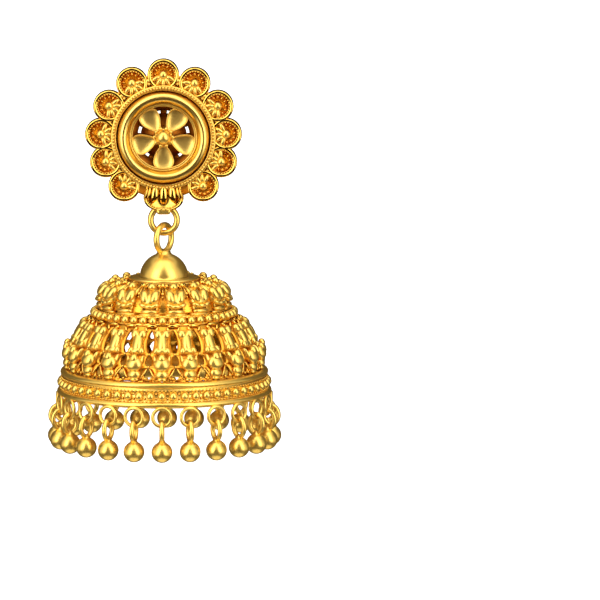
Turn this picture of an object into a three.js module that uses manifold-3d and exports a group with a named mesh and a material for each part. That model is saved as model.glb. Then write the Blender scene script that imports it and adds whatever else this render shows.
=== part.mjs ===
// A gold jhumka earring, hung as it is worn: a round flower rosette on an ear post, a jump ring
// under it, and a domed bell of two pierced tiers with a beaded rim and a fringe of ball drops.
// Millimetres, +Z up, the front faces -Y. The origin is where the post leaves the rosette's back.

import * as THREE from "three";
import { mergeVertices } from "three/addons/utils/BufferGeometryUtils.js";
import Module from "manifold-3d";

const wasm = await Module();
wasm.setup();

const TAU = 2 * Math.PI;
const GAP = 0.05; // between separate pieces that sit against each other

// Rosette: a plate with a ring of round petal cups and one wide fan at the bottom
const PLATE_DEPTH = 2.0; // back face at y = 0
const PLATE_OUTER = 9.1;
const PLATE_INNER = 6.9;
const MILGRAIN_RING = { radius: 7.22, wire: 0.34 };
const PETAL_CUP = { radius: 2.32, ring: 9.05, bowl: 1.72, bowlDepth: 1.25, depth: 2.3 };
const PETAL_ANGLES = [0, 30, 60, 87, 113, 141]; // degrees each way from the top
const FAN = { halfWidth: 2.95, top: -6.6, shoulder: -8.4, bottom: -10.75, depth: 2.75 };
const FAN_RELIEF = { halfWidth: 3.2, top: -9.5, front: -2.2 }; // room for the jump ring behind the fan
const EYELET = { bore: 0.68, wall: 0.26, length: 1.4 };

// Inside the rosette: a domed ring, then a pierced flower in a fine wire ring
const DOMED_RING = { outer: 6.8, inner: 5.02, back: -0.4, edge: -1.9, crown: -3.3 };
const FLOWER_RING = { radius: 4.76, wire: 0.2, y: -1.5 };
const FLOWER_PETAL = { count: 5, length: 4.0, width: 3.1, thickness: 0.7, middle: 2.72, y: -1.45 };
const FLOWER_HUB = { radius: 1.35, back: -0.75, front: -2.0 };
const CENTRE_BEAD = { radius: 1.1, y: -2.35 };
const POST = { radius: 0.45, length: 11, padRadius: 1.45, padFront: -0.7, tip: 0.25 };

// Links: the jump ring hangs face on in the eyelet, and the bell's loop hangs in the jump ring
const BELL_Y = -1.2; // the hanging line, in the middle of the rosette's depth
const EYELET_Z = -10.25;
const JUMP_RING = { radius: 1.905, wire: 0.45, z: -12.08 };
const BELL_LOOP = { radius: 1.95, wire: 0.45, z: -14.78, turn: 58 };

// Bell
const NECK = { radius: 1.0, top: -16.7, bottom: -17.4 };
const CAP = { radius: 3.55, wall: 0.6, z: -20.4 };
const FLANGE = { radius: 5.1, bore: 2.6, thickness: 0.42 };
const UPPER_TIER = { top: -20.87, bottom: -24.8, wall: 0.6, motifs: 15 };
const UPPER_OUTLINE = [
  { r: 5.4, z: UPPER_TIER.top },
  { r: 8.1, z: -22.2 },
  { r: 9.1, z: UPPER_TIER.bottom },
];
const UPPER_MOTIF = { r: 7.75, z: -22.55, width: 2.5, height: 3.2, depth: 1.7, lean: 42 };
const UPPER_WINDOW = { width: 0.75, low: -24.2, high: -22.7 };

const BEAD_RING = { radius: 10.15, bead: 0.62, inner: 9.2, sides: 36 };
const LOWER_TIER = { bottom: -33.6, wall: 0.6, motifs: 22 };
const LOWER_TIER_TOP = UPPER_TIER.bottom - 2 * BEAD_RING.bead - 3 * GAP;
const LOWER_OUTLINE = [
  { r: 10.5, z: LOWER_TIER_TOP },
  { r: 13.1, z: -30.2 },
  { r: 14.2, z: LOWER_TIER.bottom },
];
const LOWER_MOTIF = { r: 12.5, z: -29.9, width: 2.7, height: 6.2, depth: 1.9, lean: 29 };
const LOWER_WINDOW = { width: 1.15, low: -32.6, high: -27.6 };

const RIM = { top: LOWER_TIER.bottom - GAP, bottom: -37.4, inner: 14.1, outer: 15.62, sides: 36 };
const RIM_WIRE = 0.36; // how far each polished edge ring stands proud
const RIM_BEAD_Z = -35.5;

// Fringe: small rings soldered face on under the rim, each with a loop and ball hanging in it
const FRINGE = { count: 24, ring: 15.5 };
const FRINGE_RING = { radius: 1.305, wire: 0.26, z: -38.585 };
const DROP_LOOP = { halfWidth: 1.06, halfHeight: 1.4, wire: 0.32, z: -40.65 };
const DROP_BALL = { radius: 1.5, z: -43.6 };

const gold = (roughness) =>
  new THREE.MeshStandardMaterial({ color: 0xe8a520, metalness: 1, roughness });
const POLISHED = 0.12;
const SATIN = 0.35;

/** A closed solid from a closed three.js geometry. */
function solid(geometry) {
  const bare = geometry.clone();
  bare.deleteAttribute("normal");
  bare.deleteAttribute("uv");
  const merged = mergeVertices(bare);
  const mesh = new wasm.Mesh({
    numProp: 3,
    vertProperties: merged.attributes.position.array,
    triVerts: new Uint32Array(merged.index.array),
  });
  return new wasm.Manifold(mesh);
}

/** Geometries joined into one solid. */
function joined(geometries) {
  return geometries.map(solid).reduce((sum, piece) => sum.add(piece));
}

/** A solid with each of the geometries cut out of it. */
function without(whole, geometries) {
  return geometries.map(solid).reduce((rest, piece) => rest.subtract(piece), whole);
}

/** A named mesh from a solid. */
function meshOf(name, shape, roughness) {
  const { vertProperties, triVerts, numProp } = shape.getMesh();
  const geometry = new THREE.BufferGeometry();
  const flat = new Float32Array((vertProperties.length / numProp) * 3).map(
    (_, i) => vertProperties[Math.floor(i / 3) * numProp + (i % 3)],
  );
  geometry.setAttribute("position", new THREE.BufferAttribute(flat, 3));
  geometry.setIndex([...triVerts]);
  geometry.computeVertexNormals();
  const mesh = new THREE.Mesh(geometry, gold(roughness));
  mesh.name = name;
  return mesh;
}

/** A ring turned about the Z axis from a closed outline of {r, z} points, outer side first. */
function turned(outline, sides) {
  const points = [...outline, outline[0]].map(({ r, z }) => new THREE.Vector2(r, z));
  return new THREE.LatheGeometry(points.reverse(), sides).rotateX(TAU / 4);
}

/** A round wire ring standing in the XZ plane. */
function wireRing({ radius, wire }, around, section) {
  return new THREE.TorusGeometry(radius, wire, section, around).rotateX(TAU / 4);
}

/** A cylinder along Y from its back to its front, y falling towards the front. */
function disc(radius, back, front, sides) {
  return new THREE.CylinderGeometry(radius, radius, back - front, sides).translate(
    0,
    (back + front) / 2,
    0,
  );
}

/** An egg-shaped ball with half sizes x, y and z. */
function egg(x, y, z, around = 8, up = 6) {
  return new THREE.SphereGeometry(1, around, up).rotateX(TAU / 4).scale(x, y, z);
}

/** The inner side of a thin wall: the outline moved in by the wall, in reverse order. */
function innerSide(outline, wall) {
  return outline.map(({ r, z }) => ({ r: r - wall, z })).reverse();
}

/** Angles in radians that share out a full turn. */
function shares(count, offset = 0) {
  return Array.from({ length: count }, (_, i) => ((i + offset) * TAU) / count);
}

/** A pointed window as an upright prism that runs out through a wall towards -Y. */
function window3d({ width, low, high }, from, to) {
  const middle = (low + high) / 2;
  const outline = new THREE.Shape();
  outline.moveTo(0, high);
  outline.lineTo(-width / 2, middle);
  outline.lineTo(-width / 2, low + width / 2);
  outline.lineTo(0, low);
  outline.lineTo(width / 2, low + width / 2);
  outline.lineTo(width / 2, middle);
  const prism = new THREE.ExtrudeGeometry(outline, { depth: to - from, bevelEnabled: false });
  return prism.rotateX(TAU / 4).translate(0, -from, 0);
}

/** A bulged motif on a leaning wall, at the front. */
function bulge({ r, z, width, height, depth, lean }) {
  return egg(width / 2, depth / 2, height / 2, 6, 4)
    .rotateX(-THREE.MathUtils.degToRad(lean))
    .translate(0, -r, z);
}

function rosette() {
  const angles = PETAL_ANGLES.flatMap((a) => (a ? [a, -a] : [a])).map(THREE.MathUtils.degToRad);
  const atCup = (geometry, angle) =>
    geometry.translate(PETAL_CUP.ring * Math.sin(angle), 0, PETAL_CUP.ring * Math.cos(angle));
  const fanOutline = new THREE.Shape();
  fanOutline.moveTo(-FAN.halfWidth * 0.8, FAN.top);
  fanOutline.lineTo(-FAN.halfWidth, FAN.shoulder);
  fanOutline.quadraticCurveTo(-FAN.halfWidth * 0.9, FAN.bottom, 0, FAN.bottom);
  fanOutline.quadraticCurveTo(FAN.halfWidth * 0.9, FAN.bottom, FAN.halfWidth, FAN.shoulder);
  fanOutline.lineTo(FAN.halfWidth * 0.8, FAN.top);
  const fan = new THREE.ExtrudeGeometry(fanOutline, {
    depth: FAN.depth,
    bevelEnabled: false,
    curveSegments: 4,
  }).rotateX(TAU / 4);
  const reliefHeight = 4;
  const relief = new THREE.BoxGeometry(
    2 * FAN_RELIEF.halfWidth,
    2 * -FAN_RELIEF.front,
    reliefHeight,
  ).translate(0, 0, FAN_RELIEF.top - reliefHeight / 2);
  const eyeletAt = (radius, length) =>
    new THREE.CylinderGeometry(radius, radius, length, 16)
      .rotateZ(TAU / 4)
      .translate(0, BELL_Y, EYELET_Z);
  const body = joined([
    disc(PLATE_OUTER, 0, -PLATE_DEPTH, 32),
    ...angles.map((a) => atCup(disc(PETAL_CUP.radius, 0, -PETAL_CUP.depth, 12), a)),
    wireRing({ radius: MILGRAIN_RING.radius, wire: MILGRAIN_RING.wire }, 32, 6).translate(
      0,
      -PLATE_DEPTH,
      0,
    ),
    fan,
  ]);
  const hollowed = without(body, [
    disc(PLATE_INNER, 1, -PLATE_DEPTH - 1, 32),
    ...angles.map((a) =>
      atCup(
        egg(PETAL_CUP.bowl, PETAL_CUP.bowlDepth, PETAL_CUP.bowl, 8, 6).translate(
          0,
          -PETAL_CUP.depth,
          0,
        ),
        a,
      ),
    ),
    relief,
  ]);
  const eyelet = solid(eyeletAt(EYELET.bore + EYELET.wall, EYELET.length));
  return hollowed.add(eyelet).subtract(solid(eyeletAt(EYELET.bore, 2 * EYELET.length)));
}

function domedRing() {
  const { outer, inner, back, edge, crown } = DOMED_RING;
  const middle = (outer + inner) / 2;
  const quarter = (outer - inner) / 4;
  const outline = [
    { r: outer, z: -back },
    { r: outer, z: -edge },
    { r: middle + quarter, z: -crown - 0.3 },
    { r: middle, z: -crown },
    { r: middle - quarter, z: -crown - 0.3 },
    { r: inner, z: -edge },
    { r: inner, z: -back },
  ];
  return solid(turned(outline.reverse(), 32).rotateX(TAU / 4));
}

function flower() {
  const { count, length, width, thickness, middle, y } = FLOWER_PETAL;
  const petals = shares(count).map((angle) =>
    egg(width / 2, thickness / 2, length / 2, 8, 6)
      .translate(0, y, -middle)
      .rotateY(angle),
  );
  return joined([
    disc(FLOWER_HUB.radius, FLOWER_HUB.back, FLOWER_HUB.front, 12),
    egg(CENTRE_BEAD.radius, CENTRE_BEAD.radius, CENTRE_BEAD.radius, 12, 8).translate(
      0,
      CENTRE_BEAD.y,
      0,
    ),
    wireRing(FLOWER_RING, 30, 4).translate(0, FLOWER_RING.y, 0),
    ...petals,
  ]);
}

function earPost() {
  const { radius, length, padRadius, padFront, tip } = POST;
  const outline = [
    [0, padFront],
    [padRadius, padFront],
    [padRadius, 0],
    [radius, 0],
    [radius, length - tip],
    [radius - tip, length],
    [0, length],
  ].map(([r, y]) => new THREE.Vector2(r, y));
  return solid(new THREE.LatheGeometry(outline, 12));
}

function jumpRing() {
  return solid(wireRing(JUMP_RING, 20, 6).translate(0, 0, JUMP_RING.z));
}

function crownCap() {
  const steps = 4;
  const arc = (radius, rising) =>
    Array.from({ length: steps + 1 }, (_, i) => {
      const angle = ((rising ? i : steps - i) / steps) * (TAU / 4);
      return { r: radius * Math.cos(angle), z: CAP.z + radius * Math.sin(angle) };
    });
  const outline = [
    ...arc(CAP.radius, false),
    { r: FLANGE.radius, z: CAP.z },
    { r: FLANGE.radius, z: CAP.z - FLANGE.thickness },
    { r: FLANGE.bore, z: CAP.z - FLANGE.thickness },
    { r: FLANGE.bore, z: CAP.z },
    ...arc(CAP.radius - CAP.wall, true),
  ].map(({ r, z }) => new THREE.Vector2(Math.abs(r) < 1e-6 ? 0 : r, z));
  const dome = new THREE.LatheGeometry(outline.reverse(), 20).rotateX(TAU / 4);
  const loop = wireRing(BELL_LOOP, 20, 6)
    .rotateZ(THREE.MathUtils.degToRad(BELL_LOOP.turn))
    .translate(0, 0, BELL_LOOP.z);
  const neck = new THREE.CylinderGeometry(NECK.radius, NECK.radius + 0.5, NECK.top - NECK.bottom, 12)
    .rotateX(TAU / 4)
    .translate(0, 0, (NECK.top + NECK.bottom) / 2);
  return joined([dome, loop, neck]);
}

function pierced(outline, tier, windows, bulges) {
  const wall = solid(turned([...outline, ...innerSide(outline, tier.wall)], tier.motifs));
  const raised = bulges.reduce((sum, geometry) => sum.add(solid(geometry)), wall);
  const hollow = new THREE.LatheGeometry(
    [
      new THREE.Vector2(0, outline.at(-1).z - 1),
      ...innerSide(outline, tier.wall).map(({ r, z }) => new THREE.Vector2(r, z)),
      new THREE.Vector2(0, outline[0].z),
    ],
    tier.motifs,
  ).rotateX(TAU / 4);
  return without(raised, [hollow, ...windows]);
}

function upperTier() {
  const { motifs } = UPPER_TIER;
  return pierced(
    UPPER_OUTLINE,
    UPPER_TIER,
    shares(motifs).map((a) => window3d(UPPER_WINDOW, 6, 11).rotateZ(a)),
    shares(motifs, 0.5).map((a) => bulge(UPPER_MOTIF).rotateZ(a)),
  );
}

function upperBeadRing() {
  const { radius, bead, inner, sides } = BEAD_RING;
  const top = UPPER_TIER.bottom - GAP;
  const bottom = top - 2 * bead;
  const middle = (top + bottom) / 2;
  const outline = [
    { r: inner, z: top },
    { r: radius, z: top },
    { r: radius + bead, z: middle + bead / 2 },
    { r: radius + bead, z: middle - bead / 2 },
    { r: radius, z: bottom },
    { r: inner + bead / 2, z: bottom },
  ];
  return solid(turned(outline, sides));
}

function lowerTier() {
  const { motifs } = LOWER_TIER;
  return pierced(
    LOWER_OUTLINE,
    LOWER_TIER,
    shares(motifs, 0.5).map((a) => window3d(LOWER_WINDOW, 9, 16).rotateZ(a)),
    shares(motifs).map((a) => bulge(LOWER_MOTIF).rotateZ(a)),
  );
}

function rimBand() {
  const { top, bottom, inner, outer, sides } = RIM;
  const channel = outer - RIM_WIRE;
  const outline = [
    { r: inner, z: top },
    { r: channel - 0.3, z: top - 0.15 },
    { r: outer - 0.35, z: top - 0.5 },
    { r: channel - 0.3, z: top - 0.9 },
    { r: outer, z: RIM_BEAD_Z + 0.3 },
    { r: outer, z: RIM_BEAD_Z - 0.3 },
    { r: channel, z: bottom + 1.2 },
    { r: outer, z: bottom + 0.75 },
    { r: outer, z: bottom + 0.35 },
    { r: channel, z: bottom },
    { r: inner + 0.4, z: bottom },
  ];
  const rings = shares(FRINGE.count).map((a) =>
    wireRing(FRINGE_RING, 8, 4).translate(0, -FRINGE.ring, FRINGE_RING.z).rotateZ(a),
  );
  return joined([turned(outline, sides), ...rings]);
}

/** One drop at the front: an upright loop edge on, soldered to a ball. */
function drop() {
  const { halfWidth, halfHeight, wire, z } = DROP_LOOP;
  const loop = new THREE.TorusGeometry(1, wire, 4, 8).rotateY(TAU / 4);
  const place = loop.attributes.position;
  for (let i = 0; i < place.count; i += 1) {
    const centre = new THREE.Vector3(0, place.getY(i), place.getZ(i)).normalize();
    place.setY(i, place.getY(i) + centre.y * (halfWidth - 1));
    place.setZ(i, place.getZ(i) + centre.z * (halfHeight - 1));
  }
  return joined([
    loop.translate(0, -FRINGE.ring, z),
    egg(DROP_BALL.radius, DROP_BALL.radius, DROP_BALL.radius, 8, 6).translate(
      0,
      -FRINGE.ring,
      DROP_BALL.z,
    ),
  ]);
}

const earring = new THREE.Group();
earring.add(
  meshOf("rosette", rosette(), POLISHED),
  meshOf("domed_ring", domedRing(), SATIN),
  meshOf("flower", flower(), SATIN),
  meshOf("ear_post", earPost(), POLISHED),
);

const hanging = new THREE.Group();
hanging.position.y = BELL_Y;
hanging.add(
  meshOf("jump_ring", jumpRing(), POLISHED),
  meshOf("crown_cap", crownCap(), POLISHED),
  meshOf("upper_tier", upperTier(), POLISHED),
  meshOf("upper_bead_ring", upperBeadRing(), POLISHED),
  meshOf("lower_tier", lowerTier(), POLISHED),
  meshOf("rim_band", rimBand(), POLISHED),
);
shares(FRINGE.count).forEach((angle, i) => {
  const mesh = meshOf(`drop_${String(i + 1).padStart(2, "0")}`, drop(), POLISHED);
  mesh.rotation.z = angle;
  hanging.add(mesh);
});
earring.add(hanging);

export default earring;
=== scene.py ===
"""A gold jhumka earring: flower rosette, jump ring, and a pierced, beaded bell with a ball fringe.

Pieces are worked in millimetres on the CAD frame's own axes (+Z up, the front faces -Y) and are
scaled to metres once, when each is finished.
"""

import logging
import math
from collections.abc import Callable, Iterable, Sequence
from dataclasses import dataclass
from enum import Enum

import bmesh
import bpy
from mathutils import Matrix, Vector


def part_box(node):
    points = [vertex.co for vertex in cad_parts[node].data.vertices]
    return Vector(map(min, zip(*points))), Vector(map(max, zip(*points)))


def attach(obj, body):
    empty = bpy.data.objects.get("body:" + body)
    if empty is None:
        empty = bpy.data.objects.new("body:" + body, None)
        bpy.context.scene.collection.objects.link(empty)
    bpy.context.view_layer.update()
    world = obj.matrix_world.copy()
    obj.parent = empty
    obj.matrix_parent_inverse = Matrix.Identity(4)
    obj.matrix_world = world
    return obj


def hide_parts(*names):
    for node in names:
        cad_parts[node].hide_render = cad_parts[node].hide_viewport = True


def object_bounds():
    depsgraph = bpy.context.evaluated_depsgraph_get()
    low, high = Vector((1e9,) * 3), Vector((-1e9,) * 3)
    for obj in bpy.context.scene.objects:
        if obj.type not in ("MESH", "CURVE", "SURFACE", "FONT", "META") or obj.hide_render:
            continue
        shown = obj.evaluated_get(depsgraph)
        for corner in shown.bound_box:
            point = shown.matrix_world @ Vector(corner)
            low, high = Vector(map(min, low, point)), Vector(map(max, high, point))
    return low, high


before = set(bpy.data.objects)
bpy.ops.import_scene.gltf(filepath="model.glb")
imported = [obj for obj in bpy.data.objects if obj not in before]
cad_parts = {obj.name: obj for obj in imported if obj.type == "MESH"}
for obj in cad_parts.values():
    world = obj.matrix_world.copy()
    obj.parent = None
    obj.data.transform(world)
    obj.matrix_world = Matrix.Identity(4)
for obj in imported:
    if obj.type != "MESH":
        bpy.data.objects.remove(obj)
CAD_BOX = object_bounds()

MM = 0.001
TAU = 2 * math.pi
LOG = logging.getLogger("jhumka")
Number = float | int


# ---------------------------------------------------------------- shader arithmetic


class Value:
    """A shader socket that takes part in Python expressions."""

    def __init__(self, shader: "Shader", socket: bpy.types.NodeSocket) -> None:
        """Holds the socket and the shader that it belongs to."""
        self.shader = shader
        self.socket = socket

    def _math(self, operation: str, left: "Value | Number", right: "Value | Number") -> "Value":
        """One Math node.

        Args:
            operation: The Math node's operation.
            left: Its first value.
            right: Its second value.

        Returns:
            The node's result.
        """
        made = self.shader.node("ShaderNodeMath", {"operation": operation}, {0: left, 1: right})
        return Value(self.shader, made.outputs[0])

    def __add__(self, other: "Value | Number") -> "Value":
        """self + other."""
        return self._math("ADD", self, other)

    def __radd__(self, other: "Value | Number") -> "Value":
        """other + self."""
        return self._math("ADD", other, self)

    def __sub__(self, other: "Value | Number") -> "Value":
        """self - other."""
        return self._math("SUBTRACT", self, other)

    def __rsub__(self, other: "Value | Number") -> "Value":
        """other - self."""
        return self._math("SUBTRACT", other, self)

    def __mul__(self, other: "Value | Number") -> "Value":
        """self * other."""
        return self._math("MULTIPLY", self, other)

    def __rmul__(self, other: "Value | Number") -> "Value":
        """other * self."""
        return self._math("MULTIPLY", other, self)

    def __truediv__(self, other: "Value | Number") -> "Value":
        """self / other."""
        return self._math("DIVIDE", self, other)

    def __pow__(self, other: "Value | Number") -> "Value":
        """self ** other."""
        return self._math("POWER", self, other)

    def above(self, limit: Number) -> "Value":
        """1 where the value is over the limit, else 0."""
        return self._math("GREATER_THAN", self, limit)

    def angle_to(self, other: "Value") -> "Value":
        """The angle of the point (other, self), in radians."""
        return self._math("ARCTAN2", self, other)

    def size(self) -> "Value":
        """The value without its sign."""
        return self._math("ABSOLUTE", self, 0.0)


class Shader:
    """A node tree and the one way of adding nodes to it."""

    def __init__(self, tree: bpy.types.NodeTree) -> None:
        """Starts from an empty tree."""
        self.tree = tree
        tree.nodes.clear()

    def node(
        self,
        kind: str,
        settings: dict[str, object] | None = None,
        inputs: dict[str | int, object] | None = None,
    ) -> bpy.types.Node:
        """Adds a node.

        Args:
            kind: The node's type.
            settings: Its properties, set before its sockets; "stops" fills a colour ramp.
            inputs: A value, a Value or a socket for each named or numbered input.

        Returns:
            The node.
        """
        made = self.tree.nodes.new(kind)
        for name, setting in (settings or {}).items():
            if name == "stops":
                self._fill_ramp(made.color_ramp, setting)
            else:
                setattr(made, name, setting)
        for name, given in (inputs or {}).items():
            source = given.socket if isinstance(given, Value) else given
            if isinstance(source, bpy.types.NodeSocket):
                self.tree.links.new(source, made.inputs[name])
            else:
                made.inputs[name].default_value = source
        return made

    @staticmethod
    def _fill_ramp(ramp: bpy.types.ColorRamp, stops: Sequence[tuple[float, float]]) -> None:
        """Sets a grey ramp's stops from (place, brightness) pairs."""
        while len(ramp.elements) < len(stops):
            ramp.elements.new(1.0)
        for element, (place, grey) in zip(ramp.elements, stops):
            element.position = place
            element.color = (grey, grey, grey, 1.0)

    def value(self, kind: str, settings: dict | None, inputs: dict | None, out: str | int = 0) -> Value:
        """Adds a node and returns one of its outputs as a Value."""
        return Value(self, self.node(kind, settings, inputs).outputs[out])

    def noise(self, where: Value, scale: float, detail: float = 2.0) -> Value:
        """Noise from 0 to 1, scale cells in each unit of its coordinates."""
        return self.value("ShaderNodeTexNoise", None, {"Vector": where, "Scale": scale, "Detail": detail})

    def mix_colours(self, mask: Value, first: object, second: object) -> Value:
        """The first colour where the mask is 0, the second where it is 1."""
        names = {"Factor": mask, "A": first, "B": second}
        made = self.tree.nodes.new("ShaderNodeMix")
        made.data_type = "RGBA"
        for name, given in names.items():
            wanted = "VALUE" if name == "Factor" else "RGBA"
            socket = next(s for s in made.inputs if s.name == name and s.type == wanted)
            source = given.socket if isinstance(given, Value) else given
            if isinstance(source, bpy.types.NodeSocket):
                self.tree.links.new(source, socket)
            else:
                socket.default_value = source
        return Value(self, next(s for s in made.outputs if s.type == "RGBA"))


# ---------------------------------------------------------------- finishes


class Lay(Enum):
    """Which way the fine marks of a finish run."""

    CAST = "cast"
    TURNED = "turned"
    RADIAL = "radial"


@dataclass(frozen=True)
class GoldFinish:
    """Rich yellow gold, with painted shade: a deeper colour in its recesses, from an ambient occlusion mask.

    Attributes:
        name: The material's name.
        slot: The record's material slot.
        bright: Colour of the open surface.
        deep: The painted shade colour for the recesses.
        roughness: Mean roughness.
        marks: Strength of the fine surface marks.
        lay: Which way the marks run.
        reach_mm: How far the painted shade reaches out of a corner.
    """

    name: str
    slot: str
    bright: tuple[float, float, float, float]
    deep: tuple[float, float, float, float]
    roughness: float
    marks: float
    lay: Lay = Lay.CAST
    reach_mm: float = 1.2

    def material(self) -> bpy.types.Material:
        """The finish as a node material, made once.

        Returns:
            The material.
        """
        known = bpy.data.materials.get(self.name)
        if known:
            return known
        made = bpy.data.materials.new(self.name)
        made.use_nodes = True
        shader = Shader(made.node_tree)
        here = shader.value("ShaderNodeTexCoord", None, None, "Object")
        marks = self._marks(shader, here)
        tone = shader.noise(here, 260.0, 3.0)
        patches = shader.noise(here, 90.0, 2.0)
        # Painted shade: ambient occlusion darkens the colour towards deep in recesses and corners, where shade falls.
        openness = shader.value(
            "ShaderNodeAmbientOcclusion", {"samples": 8}, {"Distance": self.reach_mm * MM}, "AO"
        )
        painted_shade_mask = (1.0 - openness) ** 1.5
        warm = tuple(b * 0.8 + d * 0.2 for b, d in zip(self.bright, self.deep))
        surface = shader.mix_colours(tone * 0.55 + patches * 0.35, self.bright, warm)
        colour = shader.mix_colours(painted_shade_mask, surface, self.deep)
        roughness = self.roughness * (0.8 + tone * 0.3 + marks * 0.25) + painted_shade_mask * 0.1
        bump = shader.node(
            "ShaderNodeBump", None, {"Strength": self.marks, "Distance": 0.03 * MM, "Height": marks}
        )
        gold = shader.node(
            "ShaderNodeBsdfPrincipled",
            None,
            {
                "Base Color": colour,
                "Metallic": 1.0,
                "Roughness": roughness,
                "Normal": bump.outputs["Normal"],
            },
        )
        shader.node("ShaderNodeOutputMaterial", None, {"Surface": gold.outputs[0]})
        return made

    def _marks(self, shader: Shader, here: Value) -> Value:
        """The fine marks of the finish, from 0 to 1.

        Args:
            shader: The shader to add to.
            here: The Object coordinates.

        Returns:
            The marks' height.
        """
        if self.lay is Lay.CAST:
            return shader.noise(here, 2600.0, 3.0)
        split = shader.node("ShaderNodeSeparateXYZ", None, {0: here})
        x, z = (Value(shader, split.outputs[i]) for i in (0, 2))
        across, along = (x * x + z * z) ** 0.5, z.angle_to(x)
        if self.lay is Lay.RADIAL:
            stretched = {0: across * 350.0, 1: along * 22.0, 2: 0.0}
        else:
            stretched = {0: across * 9000.0, 1: along * 2.5, 2: 0.0}
        return shader.noise(shader.value("ShaderNodeCombineXYZ", None, stretched), 1.0, 3.0)


POLISHED = GoldFinish(
    "polished_gold", "polished_gold", (1.0, 0.68, 0.14, 1.0), (0.60, 0.20, 0.012, 1.0), 0.05, 0.05
)
CAST = GoldFinish(
    "cast_gold", "polished_gold", (1.0, 0.66, 0.12, 1.0), (0.52, 0.17, 0.01, 1.0), 0.09, 0.15
)
# Painted shade: a darker, more orange copy of the polished gold for the hollow cup floors and the fan's backing.
SHADED_BOWL = GoldFinish(
    "shaded_bowl_gold", "polished_gold", (0.98, 0.56, 0.08, 1.0), (0.82, 0.31, 0.02, 1.0), 0.2, 0.35
)
# Painted shade: a darker, more orange copy of the polished gold for the rosette plate and tier walls that sit behind
# the ornament.
SHADED_INNER = GoldFinish(
    "shaded_inner_gold", "polished_gold", (0.90, 0.46, 0.05, 1.0), (0.55, 0.16, 0.012, 1.0), 0.26, 0.30
)
# Painted shade: a dark brown copy of the polished gold for the backing seen through the flower's gaps.
SHADED_BACK = GoldFinish(
    "shaded_back_gold", "polished_gold", (0.42, 0.14, 0.015, 1.0), (0.26, 0.06, 0.005, 1.0), 0.4, 0.30
)
TURNED_SATIN = GoldFinish(
    "turned_satin_gold", "satin_gold", (1.0, 0.70, 0.17, 1.0), (0.84, 0.38, 0.04, 1.0), 0.27, 0.35,
    Lay.TURNED,
)
PETAL_SATIN = GoldFinish(
    "petal_satin_gold", "satin_gold", (1.0, 0.69, 0.17, 1.0), (0.82, 0.38, 0.05, 1.0), 0.36, 0.40,
    Lay.RADIAL, 0.7,
)


# ---------------------------------------------------------------- making pieces


def polar(radius: float, angle: float) -> tuple[float, float]:
    """The point (x, z) at a radius and an angle clockwise from the top, seen from the front."""
    return radius * math.sin(angle), radius * math.cos(angle)


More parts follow.
